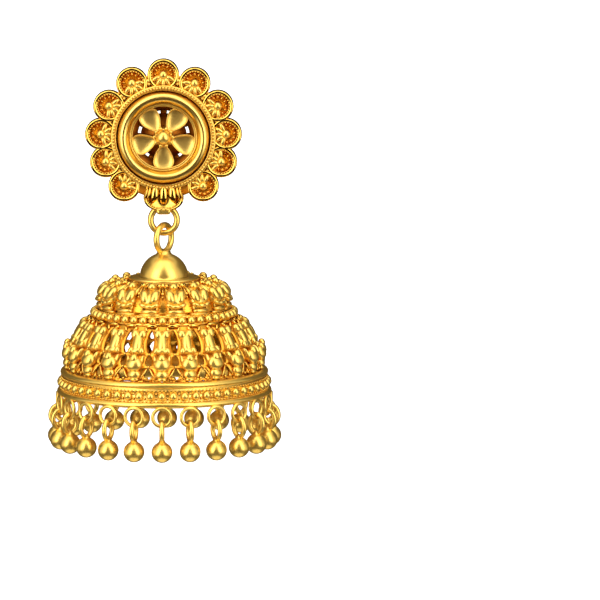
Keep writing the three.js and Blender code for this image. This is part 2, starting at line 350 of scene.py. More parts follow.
class Workpiece:
    """One piece of metal being worked in millimetres."""

    def __init__(self, name: str) -> None:
        """Starts an empty piece."""
        self.name = name
        self.metal = bmesh.new()

    def egg(
        self,
        centre: Sequence[float],
        half: Sequence[float],
        turn: Matrix | None = None,
        segments: int = 14,
    ) -> None:
        """Adds an egg-shaped ball.

        Args:
            centre: Its centre.
            half: Its half sizes along x, y and z.
            turn: A rotation about its centre.
            segments: Faces round its waist.
        """
        matrix = Matrix.Translation(centre) @ (turn or Matrix.Identity(4)) @ Matrix.Diagonal((*half, 1))
        bmesh.ops.create_uvsphere(
            self.metal, u_segments=segments, v_segments=max(6, segments // 2 + 1), radius=1, matrix=matrix
        )

    def grain(self, centre: Sequence[float], radius: float, fine: int = 2) -> None:
        """Adds a small soldered grain.

        Args:
            centre: Its centre.
            radius: Its radius.
            fine: How often the icosahedron is divided.
        """
        bmesh.ops.create_icosphere(
            self.metal, subdivisions=fine, radius=radius, matrix=Matrix.Translation(centre)
        )

    def turned(self, outline: Sequence[tuple[float, float]], steps: int = 96) -> None:
        """Spins an outline of (radius, z) points about the Z axis.

        Args:
            outline: The points in order; the ends lie on the axis, or the last repeats the first.
            steps: Faces round a full turn.
        """
        fresh = bmesh.new()
        points = [fresh.verts.new((radius, 0, z)) for radius, z in outline]
        for one, two in zip(points, points[1:]):
            fresh.edges.new((one, two))
        bmesh.ops.spin(
            fresh, geom=fresh.verts[:] + fresh.edges[:], cent=(0, 0, 0), axis=(0, 0, 1),
            angle=TAU, steps=steps, use_merge=True,
        )
        bmesh.ops.remove_doubles(fresh, verts=fresh.verts[:], dist=1e-4)
        bmesh.ops.recalc_face_normals(fresh, faces=fresh.faces[:])
        self.take(fresh)

    def wire(self, radius: float, thickness: float, place: Matrix, around: int = 64) -> None:
        """Adds a closed round ring of round wire.

        Args:
            radius: From the ring's centre to the wire's middle.
            thickness: The wire's diameter.
            place: Turns and moves the ring, which is made flat about Z.
            around: Faces round the ring.
        """
        fresh = Workpiece("wire")
        sides = 14
        section = [
            (radius + thickness / 2 * math.cos(a), thickness / 2 * math.sin(a))
            for a in (TAU * i / sides for i in range(sides + 1))
        ]
        fresh.turned(section, around)
        bmesh.ops.transform(fresh.metal, matrix=place, verts=fresh.metal.verts[:])
        self.take(fresh.metal)

    def stepped(
        self,
        outline: Sequence[tuple[float, float]],
        steps: Sequence[tuple[float, float]],
        centre: tuple[float, float] = (0.0, 0.0),
        place: Matrix | None = None,
    ) -> None:
        """Raises a closed flat outline through steps of size and depth, and closes both ends.

        Args:
            outline: The (x, z) points of the outline, anticlockwise from the front.
            steps: For each loop, its scale about the centre and its y.
            centre: The (x, z) point that the loops shrink towards.
            place: Moves the finished form.
        """
        fresh = bmesh.new()
        middle = Vector((centre[0], 0, centre[1]))

        def loop_at(verts: Iterable[bmesh.types.BMVert], scale: float, y: float) -> None:
            """Lays the loop's points at a scale and depth."""
            for vert, (x, z) in zip(verts, outline):
                vert.co = middle + (Vector((x, 0, z)) - middle) * scale + Vector((0, y, 0))

        ring = [fresh.verts.new((x, 0, z)) for x, z in outline]
        edges = [fresh.edges.new((one, two)) for one, two in zip(ring, ring[1:] + ring[:1])]
        loop_at(ring, *steps[0])
        bmesh.ops.contextual_create(fresh, geom=edges)
        for scale, y in steps[1:]:
            made = bmesh.ops.extrude_edge_only(fresh, edges=edges)["geom"]
            edges = [g for g in made if isinstance(g, bmesh.types.BMEdge)]
            verts = [g for g in made if isinstance(g, bmesh.types.BMVert)]
            order = {old: i for i, old in enumerate(ring)}
            following = [None] * len(ring)
            for vert in verts:
                parent = next(e.other_vert(vert) for e in vert.link_edges if e.other_vert(vert) in order)
                following[order[parent]] = vert
            ring = following
            edges = [e for e in edges if all(v in set(ring) for v in e.verts)]
            loop_at(ring, scale, y)
        cap = bmesh.ops.contextual_create(fresh, geom=edges)["faces"]
        bmesh.ops.poke(fresh, faces=cap)
        bmesh.ops.recalc_face_normals(fresh, faces=fresh.faces[:])
        if place:
            bmesh.ops.transform(fresh, matrix=place, verts=fresh.verts[:])
        self.take(fresh)

    def take(self, fresh: bmesh.types.BMesh) -> None:
        """Adds a copy of another bmesh's shape and frees it."""
        mesh = bpy.data.meshes.new("part")
        fresh.to_mesh(mesh)
        fresh.free()
        self.metal.from_mesh(mesh)
        bpy.data.meshes.remove(mesh)

    def repeat(self, count: int, axis: Sequence[float] = (0, 0, 1)) -> None:
        """Copies all of the piece round an axis through the origin, sharing a full turn."""
        everything = self.metal.verts[:] + self.metal.edges[:] + self.metal.faces[:]
        bmesh.ops.spin(
            self.metal, geom=everything, cent=(0, 0, 0), axis=axis,
            angle=TAU * (count - 1) / count, steps=count - 1, use_duplicate=True,
        )

    def move(self, offset: Sequence[float]) -> None:
        """Moves all of the piece."""
        bmesh.ops.translate(self.metal, vec=offset, verts=self.metal.verts[:])

    def weld(self, distance: float = 0.005) -> None:
        """Merges points that meet, such as at the joins between bays."""
        bmesh.ops.remove_doubles(self.metal, verts=self.metal.verts[:], dist=distance)

    def finish(self, finish: GoldFinish, body: str, *nodes: str) -> bpy.types.Object:
        """Makes the object, dresses it and ties it to the frame.

        Args:
            finish: Its finish.
            body: The CAD body that it rides on.
            nodes: The CAD nodes that it stands for.

        Returns:
            The finished object.
        """
        bmesh.ops.scale(self.metal, vec=(MM, MM, MM), verts=self.metal.verts[:])
        for face in self.metal.faces:
            face.smooth = True
        mesh = bpy.data.meshes.new(self.name)
        self.metal.to_mesh(mesh)
        self.metal.free()
        mesh.materials.append(finish.material())
        piece = bpy.data.objects.new(self.name, mesh)
        bpy.context.scene.collection.objects.link(piece)
        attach(piece, body)
        if nodes:
            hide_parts(*nodes)
        LOG.info("%s: %d faces, on %s", self.name, len(mesh.polygons), body)
        return piece


# ---------------------------------------------------------------- places taken from the frame


class Places:
    """Where the CAD frame puts each thing, in millimetres."""

    def __init__(self) -> None:
        """Reads the boxes of the CAD nodes."""
        self.hang_y = self.middle("crown_cap").y
        self.jump_ring = self.middle("jump_ring")
        self.loop_top = self.high("crown_cap").z
        self.flange_z = self.low("crown_cap").z
        self.tier_tops = {n: self.high(n).z for n in ("upper_tier", "lower_tier")}
        self.tier_bottoms = {n: self.low(n).z for n in ("upper_tier", "lower_tier")}
        self.rim_top = self.high("rim_band").z
        self.drop_y = self.middle("drop_01").y - self.hang_y
        self.drop_low = self.low("drop_01").z
        self.drop_high = self.high("drop_01").z

    @staticmethod
    def low(node: str) -> Vector:
        """The node's lowest corner."""
        return Vector(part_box(node)[0]) / MM

    @staticmethod
    def high(node: str) -> Vector:
        """The node's highest corner."""
        return Vector(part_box(node)[1]) / MM

    def middle(self, node: str) -> Vector:
        """The middle of the node's box."""
        return (self.low(node) + self.high(node)) / 2


@dataclass
class WallCurve:
    """A tier's wall line, a smooth curve from its top edge through its waist to its foot.

    Attributes:
        top: (radius, z) of its top edge.
        waist: (radius, z) that it passes half way.
        foot: (radius, z) of its bottom edge.
    """

    top: tuple[float, float]
    waist: tuple[float, float]
    foot: tuple[float, float]

    def __post_init__(self) -> None:
        """Samples the curve by its run from the top edge."""
        ends, steps = (Vector(self.top), Vector(self.foot)), 40
        pull = 2 * Vector(self.waist) - (ends[0] + ends[1]) / 2
        self.points = [
            ends[0] * (1 - t) ** 2 + pull * 2 * t * (1 - t) + ends[1] * t**2
            for t in (i / steps for i in range(steps + 1))
        ]
        self.runs = [0.0]
        for one, two in zip(self.points, self.points[1:]):
            self.runs.append(self.runs[-1] + (two - one).length)
        self.length = self.runs[-1]

    def at(self, run: float) -> tuple[Vector, Vector]:
        """The wall's point and outward normal at a run from its top edge.

        Args:
            run: Distance down the wall.

        Returns:
            The (radius, z) point and the unit normal, both two-dimensional.
        """
        i = max(0, min(len(self.runs) - 2, next((k for k, r in enumerate(self.runs) if r > run), 1) - 1))
        if run >= self.length:
            i = len(self.runs) - 2
        one, two = self.points[i], self.points[i + 1]
        share = (run - self.runs[i]) / (self.runs[i + 1] - self.runs[i])
        along = (two - one).normalized()
        return one.lerp(two, share) if 0 <= share <= 1 else one + (two - one) * share, Vector((-along.y, along.x))

    def wrap(self, piece: Workpiece) -> None:
        """Bends a piece made as if the wall were flat, faced -Y and hung down from z = 0."""
        for vert in piece.metal.verts:
            point, outward = self.at(-vert.co.z)
            angle = vert.co.x / point.x
            radius = point.x - vert.co.y * outward.x
            z = point.y - vert.co.y * outward.y
            vert.co = (radius * math.sin(angle), -radius * math.cos(angle), z)


# ---------------------------------------------------------------- rosette


def round_outline(radius: float, count: int = 40) -> list[tuple[float, float]]:
    """A circle's (x, z) points, anticlockwise from the front."""
    return [polar(radius, -TAU * i / count) for i in range(count)]


@dataclass
class Rosette:
    """The flower-shaped ear piece.

    Attributes:
        ring_radius: From the centre to the middle of each petal cup.
        cup_radius: A cup's outer radius.
        rim_y: How far forward the cups' rims stand.
        angles: The cups' places in degrees each way from the top.
    """

    ring_radius: float = 9.05
    cup_radius: float = 2.3
    rim_y: float = -2.35
    angles: tuple[int, ...] = (0, 30, 60, 87, 113, 141)
    inner_radius: float = 6.72
    milgrain_radius: float = 7.22
    milgrain_grains: int = 100
    rib_spread: tuple[float, ...] = (-64, -32, 0, 32, 64)
    fan_half_width: float = 2.92
    fan_bottom: float = -10.75
    back_spokes: int = 12

    def build(self) -> None:
        """Makes the rosette's pieces."""
        self.plate().finish(SHADED_INNER, "rosette", "rosette")
        self.back().finish(SHADED_BACK, "rosette")
        self.cups().finish(CAST, "rosette")
        self.bowls().finish(SHADED_BOWL, "rosette")
        self.shells().finish(POLISHED, "rosette")
        self.milgrain().finish(POLISHED, "rosette")
        self.fan().finish(CAST, "rosette")
        self.fan_bowl().finish(SHADED_BOWL, "rosette")
        self.eyelet().finish(POLISHED, "rosette")

    def cup_angles(self) -> list[float]:
        """Each cup's angle from the top, in radians, both ways."""
        return [math.radians(sign * a) for a in self.angles for sign in ((1, -1) if a else (1,))]

    def facing(self, outline: Sequence[tuple[float, float]], steps: int = 96) -> Workpiece:
        """A ring turned about the rosette's centre from (radius, y) points."""
        piece = Workpiece("ring")
        piece.turned([(radius, -y) for radius, y in outline], steps)
        bmesh.ops.rotate(
            piece.metal, verts=piece.metal.verts[:], cent=(0, 0, 0), matrix=Matrix.Rotation(TAU / 4, 3, "X")
        )
        return piece

    def plate(self) -> Workpiece:
        """The flat-backed ring that carries the cups."""
        outline = [
            (self.inner_radius, -0.02), (8.9, -0.02), (9.0, -0.2), (9.0, -0.95), (8.2, -1.25), (7.65, -1.75),
            (7.0, -1.8), (self.inner_radius, -1.6), (self.inner_radius, -0.02),
        ]
        piece = self.facing(outline)
        piece.name = "rosette_plate"
        return piece

    def back(self) -> Workpiece:
        """The backing behind the flower, open between its spokes, coloured dark brown as painted shade."""
        piece = Workpiece("rosette_back")
        for back in ([(3.75, -0.1), (7.0, -0.1), (7.0, -0.4), (3.75, -0.4), (3.75, -0.1)],
                     [(0.0, -0.1), (3.35, -0.1), (3.35, -0.4), (0.0, -0.4)]):
            piece.take(self.facing(back).metal)
        for i in range(self.back_spokes):
            x, z = polar(3.55, TAU * i / self.back_spokes)
            piece.egg((x, -0.25, z), (0.5, 0.15, 0.42), Matrix.Rotation(TAU * i / self.back_spokes, 4, "Y"), 12)
        return piece

    def cups(self) -> Workpiece:
        """The rounded rims of the petal cups, with their serrated inner edges."""
        piece = Workpiece("rosette_cups")
        lip, wall = self.rim_y, self.cup_radius
        steps = [
            (0.80, -0.1), (0.97, -0.12), (0.985, -0.4), (0.975, lip * 0.55), (1.0, lip + 0.42),
            (0.985, lip + 0.16), (0.94, lip + 0.02), (0.88, lip), (0.80, lip + 0.05), (0.755, lip + 0.2),
            (0.745, lip + 0.5), (0.70, lip + 0.95), (0.4, lip + 1.3),
        ]
        for angle in self.cup_angles():
            x, z = polar(self.ring_radius, angle)
            outline = [(x + a, z + b) for a, b in round_outline(wall, 44)]
            piece.stepped(outline, steps, (x, z))
            for i in range(19):
                around = angle + math.radians(-117 + 13 * i)
                a, b = polar(wall * 0.745, around)
                piece.grain((x + a, lip + 0.2, z + b), 0.155, 1)
        return piece

    def bowls(self) -> Workpiece:
        """The deep concave floors of the cups, with a low hammered ripple."""
        piece = Workpiece("rosette_bowls")
        lip = self.rim_y
        for angle in self.cup_angles():
            x, z = polar(self.ring_radius, angle)
            outline = [(x + a, z + b) for a, b in round_outline(self.cup_radius, 36)]
            steps = [(0.735, lip + 1.35), (0.735, lip + 0.42), (0.68, lip + 0.66), (0.55, lip + 0.95),
                     (0.35, lip + 1.08), (0.12, lip + 1.1)]
            piece.stepped(outline, steps, (x, z))
            for i in range(7):
                a, b = polar(self.cup_radius * 0.56, angle + math.radians(-90 + 30 * i))
                turn = Matrix.Rotation(angle + math.radians(-90 + 30 * i), 4, "Y")
                piece.egg((x + a, lip + 0.93, z + b), (0.2, 0.18, 0.34), turn, 10)
        return piece

    def shells(self) -> Workpiece:
        """In each cup, a bead on a fluted shell that fans towards the centre, and knots between cups."""
        piece = Workpiece("rosette_shells")
        lip = self.rim_y
        for angle in self.cup_angles():
            x, z = polar(self.ring_radius, angle)
            piece.egg((x, lip + 0.28, z), (0.62, 0.55, 0.62), None, 18)
            inward = angle + math.pi
            for spread in self.rib_spread:
                along = inward + math.radians(spread)
                a, b = polar(1.12, along)
                turn = Matrix.Rotation(along, 4, "Y")
                piece.egg((x + a, lip + 0.45, z + b), (0.34, 0.42, 0.8), turn, 12)
            a, b = polar(1.0, inward)
            piece.egg((x + a * 0.9, lip + 0.72, z + b * 0.9), (1.15, 0.3, 0.85), Matrix.Rotation(inward, 4, "Y"))
        order = sorted(self.cup_angles())
        for one, two in zip(order, order[1:]):
            between = (one + two) / 2
            for radius, size, y in ((7.98, 0.24, -2.0), (8.5, 0.3, -2.05), (9.05, 0.2, -1.95)):
                a, b = polar(radius, between)
                piece.grain((a, y, b), size)
            for side in (-1, 1):
                a, b = polar(8.25, between + side * 0.055)
                piece.egg((a, -1.95, b), (0.14, 0.3, 0.55), Matrix.Rotation(between + side * 0.25, 4, "Y"), 10)
        return piece

    def milgrain(self) -> Workpiece:
        """The fine beaded wire round the domed ring, between two plain wires."""
        piece = Workpiece("rosette_milgrain")
        face = Matrix.Translation((0, -2.3, 0)) @ Matrix.Rotation(TAU / 4, 4, "X")
        for i in range(self.milgrain_grains):
            x, z = polar(self.milgrain_radius, TAU * i / self.milgrain_grains)
            piece.grain((x, -2.58, z), 0.235, 1)
        piece.wire(self.milgrain_radius + 0.12, 0.5, face, 128)
        piece.wire(self.milgrain_radius - 0.24, 0.34, face, 128)
        return piece

    def fan_outline(self) -> list[tuple[float, float]]:
        """The bottom fan's outline, anticlockwise from the front."""
        wide, low, high = self.fan_half_width, self.fan_bottom, -7.1
        shoulder = -8.55
        count = 34
        bottom = [
            (-wide * math.cos(a), shoulder - (shoulder - low) * abs(math.sin(a)) ** 0.8)
            for a in (math.pi * i / count for i in range(count + 1))
        ]
        return [(wide * 0.86, high), (wide * 0.2, high + 0.1), (-wide * 0.2, high + 0.1), (-wide * 0.86, high)] + bottom

    def fan(self) -> Workpiece:
        """The wide bottom fan's rim, with three bold ribs and narrow ones beside them."""
        piece = Workpiece("rosette_fan")
        centre = (0.0, -8.7)
        lip = self.rim_y - 0.1
        steps = [
            (0.93, lip + 0.52), (0.99, lip + 0.42), (1.0, lip + 0.25), (0.975, lip + 0.06), (0.93, lip),
            (0.87, lip + 0.03), (0.83, lip + 0.16), (0.81, lip + 0.3),
        ]
        piece.stepped(self.fan_outline(), steps, centre)
        ribs = ((0.0, 0.62, 1.4), (1.28, 0.6, 1.25), (2.1, 0.26, 1.1), (2.5, 0.2, 0.95))
        for x, half, tall in ribs:
            for side in (-1, 1) if x else (1,):
                turn = Matrix.Rotation(-side * 0.1 * x, 4, "Y")
                piece.egg((side * x, lip + 0.15, -8.25 + 0.05 * x), (half, 0.5, tall), turn, 16)
        for i in range(13):
            a = math.radians(200 + 140 * i / 12)
            piece.grain((2.35 * math.cos(a), lip + 0.12, -8.95 + 1.3 * math.sin(a)), 0.13, 1)
        return piece

    def fan_bowl(self) -> Workpiece:
        """The backing of the bottom fan."""
        piece = Workpiece("rosette_fan_bowl")
        lip = self.rim_y
        steps = [(0.84, -0.03), (0.88, -0.1), (0.9, lip + 0.75), (0.86, lip + 0.45), (0.80, lip + 0.5), (0.4, lip + 0.62)]
        outline = [(x, max(z, -9.5)) for x, z in self.fan_outline()]
        piece.stepped(outline, steps[:3], (0.0, -8.3))
        skirt = [(0.9, lip + 0.36), (0.95, lip + 0.3), (0.88, lip + 0.24), (0.7, lip + 0.3)]
        piece.stepped(self.fan_outline(), skirt, (0.0, -8.7))
        return piece

    def eyelet(self) -> Workpiece:
        """The short tube that the jump ring hangs in, with a granulated tab over its front."""
        piece = Workpiece("rosette_eyelet")
        outer, bore, half = 0.92, 0.7, 0.7
        middle_z = self.fan_bottom + 0.5
        section = [(bore, -half), (outer - 0.05, -half), (outer, -half + 0.08), (outer, half - 0.08),
                   (outer - 0.05, half), (bore, half), (bore, -half)]
        tube = Workpiece("tube")
        tube.turned(section, 36)
        place = Matrix.Translation((0, PLACES.hang_y, middle_z)) @ Matrix.Rotation(TAU / 4, 4, "Y")
        bmesh.ops.transform(tube.metal, matrix=place, verts=tube.metal.verts[:])
        piece.take(tube.metal)
        tab = [(-1.0, -10.55), (-0.92, -11.05), (-0.7, -11.17), (0.7, -11.17), (0.92, -11.05), (1.0, -10.55),
               (0.9, -10.2), (-0.9, -10.2)]
        piece.stepped(tab, [(0.95, -2.05), (1.0, -2.12), (1.0, -2.45), (0.93, -2.55), (0.6, -2.58)], (0, -10.7))
        for x in (-0.62, 0.0, 0.62):
            piece.grain((x, -2.52, -10.42), 0.24)
        return piece


@dataclass
class DomedRing:
    """The broad satin ring inside the cups."""

    outer: float = 6.66
    inner: float = 4.95
    crown: float = -3.3

    def build(self, rosette: Rosette) -> None:
        """Turns the ring and dresses it.

        Args:
            rosette: The rosette that it sits in.
        """
        rows = 14
        middle, half = (self.outer + self.inner) / 2, (self.outer - self.inner) / 2
        dome = [
            (middle + half * math.cos(a), -1.75 + (self.crown + 1.75) * math.sin(a) ** 0.85)
            for a in (math.pi * i / rows for i in range(rows + 1))
        ]
        outline = [(self.inner, -0.42), (self.outer, -0.42), *dome, (self.inner, -0.42)]
        piece = rosette.facing(outline, 128)
        piece.name = "domed_ring_turning"
        piece.finish(TURNED_SATIN, "rosette", "domed_ring")


@dataclass
class Flower:
    """The pierced flower: five hollow petals in a double wire ring, round a bead."""

    petals: int = 5
    petal_length: float = 3.62
    petal_start: float = 1.08
    petal_half_width: float = 1.72
    rim_y: float = -1.95

    def build(self) -> None:
        """Makes the petals, the wires and the centre."""
        self.petal_set().finish(PETAL_SATIN, "rosette", "flower")
        self.wires().finish(POLISHED, "rosette")
        self.centre().finish(POLISHED, "rosette")

    def petal_outline(self) -> list[tuple[float, float]]:
        """One petal hanging down: narrow at the centre, broad and round at its tip."""
        count = 48
        points = []
        for i in range(count):
            t = TAU * i / count
            down = (1 - math.cos(t)) / 2
            width = math.copysign(abs(math.sin(t)) ** 0.85, math.sin(t)) * (0.4 + 0.6 * down) * 1.16
            points.append((-self.petal_half_width * width, -self.petal_start - self.petal_length * down))
        return points

    def petal_set(self) -> Workpiece:
        """The petals, each a raised wire edge round a hollow."""
        piece = Workpiece("flower_petals")
        y = self.rim_y
        steps = [
            (0.93, y + 0.62), (0.97, y + 0.5), (1.0, y + 0.2), (0.985, y + 0.05), (0.95, y), (0.9, y + 0.03),
            (0.87, y + 0.13), (0.85, y + 0.18), (0.8, y + 0.2), (0.7, y + 0.27), (0.5, y + 0.34), (0.25, y + 0.37),
        ]
        piece.stepped(self.petal_outline(), steps, (0, -3.15))
        piece.repeat(self.petals, (0, 1, 0))
        return piece

    def wires(self) -> Workpiece:
        """The two fine wires that the petals' tips are soldered to."""
        piece = Workpiece("flower_wires")
        for radius, y in ((4.82, -2.15), (4.6, -1.85)):
            place = Matrix.Translation((0, y, 0)) @ Matrix.Rotation(TAU / 4, 4, "X")
            piece.wire(radius, 0.26, place, 96)
        return piece

    def centre(self) -> Workpiece:
        """The centre bead on its stepped collar, with a ring of grains."""
        piece = Workpiece("flower_centre")
        collar = Rosette().facing(
            [(0, -0.75), (1.35, -0.8), (1.4, -1.5), (1.25, -1.72), (0.95, -1.9), (0, -1.95)], 40
        )
        piece.take(collar.metal)
        piece.egg((0, -2.3, 0), (1.08, 1.08, 1.08), None, 32)
        for i in range(10):
            x, z = polar(1.3, TAU * (i + 0.5) / 10)
            piece.grain((x, -1.85, z), 0.3)
        return piece


@dataclass
class EarPost:
    """The plain post behind the flower's centre."""

    pad_radius: float = 1.42
    radius: float = 0.44

    def build(self, rosette: Rosette) -> None:
        """Turns the post with its solder pad.

        Args:
            rosette: Gives the turning about the rosette's centre.
        """
        tip = PLACES.high("ear_post").y
        outline = [
            (0, -0.7), (self.pad_radius - 0.1, -0.7), (self.pad_radius, -0.6), (self.pad_radius, -0.1),
            (self.pad_radius - 0.12, -0.01), (self.radius + 0.15, 0.0), (self.radius, 0.15),
            (self.radius, tip - 1.9), (self.radius - 0.1, tip - 1.7), (self.radius - 0.1, tip - 1.4),
            (self.radius, tip - 1.2), (self.radius, tip - 0.35), (self.radius * 0.6, tip - 0.06), (0, tip),
        ]
        piece = rosette.facing(outline, 40)
        piece.name = "ear_post_turning"
        piece.finish(POLISHED, "rosette", "ear_post")


# ---------------------------------------------------------------- links and crown


@dataclass
class Links:
    """The jump ring and the crown's own loop."""

    wire: float = 0.9
    jump_radius: float = 1.9
    loop_radius: float = 1.95
    loop_turn: float = 58

    def build(self) -> None:
        """Makes the jump ring, which is its own body."""
        piece = Workpiece("jump_ring_wire")
        place = Matrix.Translation(PLACES.jump_ring) @ Matrix.Rotation(TAU / 4, 4, "X")
        piece.wire(self.jump_radius, self.wire, place, 72)
        piece.finish(POLISHED, "jump_ring", "jump_ring")

    def loop(self) -> Workpiece:
        """The bell's loop, turned on the hanging line."""
        piece = Workpiece("crown_loop")
        z = PLACES.loop_top - self.loop_radius - self.wire / 2
        turn = Matrix.Rotation(math.radians(self.loop_turn), 4, "Z") @ Matrix.Rotation(TAU / 4, 4, "X")
        piece.wire(self.loop_radius, self.wire, Matrix.Translation((0, 0, z)) @ turn, 72)
        return piece


@dataclass
class Crown:
    """The polished cap on its flange, with the loop soldered on top."""

    cap_radius: float = 3.52
    flange_radius: float = 5.08
    flange_thickness: float = 0.42
    wall: float = 0.6

    def build(self, links: Links) -> None:
        """Turns the cap and joins the loop.

        Args:
            links: Gives the loop.
        """
        piece = links.loop()
        piece.name = "crown_cap_turning"
        base = PLACES.flange_z + self.flange_thickness
        neck = base + self.cap_radius
        rows = 18
        dome = [
            (self.cap_radius * math.cos(a), base + self.cap_radius * math.sin(a))
            for a in (TAU / 4 * i / rows for i in range(rows - 3))
        ]
        inside = [
            ((self.cap_radius - self.wall) * math.cos(a), base + (self.cap_radius - self.wall) * math.sin(a))
            for a in (TAU / 4 * i / 8 for i in range(9))
        ]
        lip = self.flange_radius
        outline = [
            (0, neck + 0.45), (0.75, neck + 0.42), (0.98, neck + 0.22), (1.02, neck + 0.02),
            *reversed(dome),
            (self.cap_radius + 0.1, base), (lip - 0.5, base - 0.02), (lip - 0.4, base + 0.06),
            (lip - 0.12, base + 0.07), (lip, base - 0.06), (lip, base - 0.26), (lip - 0.12, base - 0.4),
            (2.7, base - 0.4), (2.6, base - 0.2), *inside[:-1], (0, base + self.cap_radius - self.wall),
        ]
        piece.turned(outline, 96)
        piece.move((0, PLACES.hang_y, 0))
        piece.finish(POLISHED, "bell", "crown_cap")


# ---------------------------------------------------------------- bell


@dataclass(frozen=True)
class Window:
    """One opening in a bay of pierced wall, between two runs from the top edge.

    Attributes:
        start: Run of the cell's upper edge.
        end: Run of its lower edge.
        width: The opening's width as a share of the bay.
        point: How sharply its top comes to a point, from 0 for round to 1.
    """

    start: float
    end: float
    width: float
    point: float


class PiercedTier:
    """A tier of openwork: one bay of windows and one bay of raised ornament, repeated round."""

    def __init__(self, name: str, curve: WallCurve, bays: int, thickness: float = 0.4,
                 set_in: float = 0.4) -> None:
        """Holds the tier's wall line and its number of bays."""
        self.name = name
        self.curve = curve
        self.bays = bays
        self.thickness = thickness
        self.set_in = set_in

    def pitch(self, run: float) -> float:
        """The bay's width at a run from the top edge."""
        return TAU / self.bays * self.curve.at(run)[0].x

    def cell(self, metal: bmesh.types.BMesh, window: Window) -> None:
        """Adds a flat plate with one opening, centred between two motifs.

        Args:
            metal: The bmesh to add to.
            window: The opening.
        """
        side, middle = 6, (window.start + window.end) / 2
        count = 4 * side
        tall = window.end - window.start
        outer, inner = [], []
        for i in range(count):
            edge, step = divmod(i, side)
            t = step / side - 0.5
            u, v = ((t, 0.5), (0.5, -t), (-t, -0.5), (-0.5, t))[edge]
            run = middle - v * tall
            outer.append(metal.verts.new((u * self.pitch(run), self.set_in, -run)))
            angle = math.atan2(v, u)
            x, z = math.cos(angle), math.sin(angle)
            if z > 0:
                x *= 1 - window.point * z**2
            run = middle - z * tall * 0.465
            inner.append(metal.verts.new((x * window.width * self.pitch(run) / 2, self.set_in, -run)))
        edges = [metal.edges.new((a[i - 1], a[i])) for a in (outer, inner) for i in range(count)]
        bmesh.ops.bridge_loops(metal, edges=edges)

    def wall(self, windows: Sequence[Window]) -> Workpiece:
        """The thin pierced wall.

        Args:
            windows: The cells of one bay, from the top down.

        Returns:
            The wall, round the Z axis.
        """
        piece = Workpiece(f"{self.name}_wall")
        for window in windows:
            self.cell(piece.metal, window)
        piece.weld()
        bmesh.ops.subdivide_edges(piece.metal, edges=piece.metal.edges[:], cuts=1)
        self.curve.wrap(piece)
        bmesh.ops.rotate(
            piece.metal, verts=piece.metal.verts[:], cent=(0, 0, 0),
            matrix=Matrix.Rotation(TAU / self.bays / 2, 3, "Z"),
        )
        piece.repeat(self.bays)
        piece.weld(0.02)
        bmesh.ops.recalc_face_normals(piece.metal, faces=piece.metal.faces[:])
        if any(f.normal.z > 0.2 and f.calc_center_median().z < -60 for f in piece.metal.faces):
            bmesh.ops.reverse_faces(piece.metal, faces=piece.metal.faces[:])
        bmesh.ops.solidify(piece.metal, geom=piece.metal.faces[:], thickness=self.thickness)
        bmesh.ops.recalc_face_normals(piece.metal, faces=piece.metal.faces[:])
        return piece

    def ornament(self, name: str, add: Callable[[Workpiece], None], shift: float = 0.0) -> Workpiece:
        """Ornament made on one flat bay, bent to the wall and repeated.

        Args:
            name: The piece's name.
            add: Adds the ornament to a flat bay.
            shift: Moves it round by this share of a bay.

        Returns:
            The ornament, round the Z axis.
        """
        piece = Workpiece(f"{self.name}_{name}")
        add(piece)
        self.curve.wrap(piece)
        if shift:
            bmesh.ops.rotate(
                piece.metal, verts=piece.metal.verts[:], cent=(0, 0, 0),
                matrix=Matrix.Rotation(TAU / self.bays * shift, 3, "Z"),
            )
        piece.repeat(self.bays)
        return piece


def figure(piece: Workpiece, outline: Sequence[tuple[float, float]], flat: float, sides: int = 18) -> None:
    """A turned figure lying down the wall, pressed flatter than it is wide.

    Args:
        piece: The bay to add to.
        outline: (half width, run) from top to bottom, smoothed between its points.
        flat: Its depth as a share of its width.
        sides: Faces round it.
    """
    fresh = Workpiece("figure")
    smooth = [outline[0]]
    padded = [outline[0], *outline, outline[-1]]
    for before, one, two, after in zip(padded, padded[1:], padded[2:], padded[3:]):
        for t in (0.33, 0.67, 1.0):
            point = [
                0.5 * (2 * p1 + (p2 - p0) * t + (2 * p0 - 5 * p1 + 4 * p2 - p3) * t * t
                       + (3 * p1 - p0 - 3 * p2 + p3) * t**3)
                for p0, p1, p2, p3 in zip(before, one, two, after)
            ]
            smooth.append((max(point[0], 0.0), point[1]))
    smooth[-1] = (0.0, outline[-1][1])
    fresh.turned([(r, -run) for r, run in smooth], sides)
    bmesh.ops.scale(fresh.metal, vec=(1, flat, 1), verts=fresh.metal.verts[:])
    piece.take(fresh.metal)


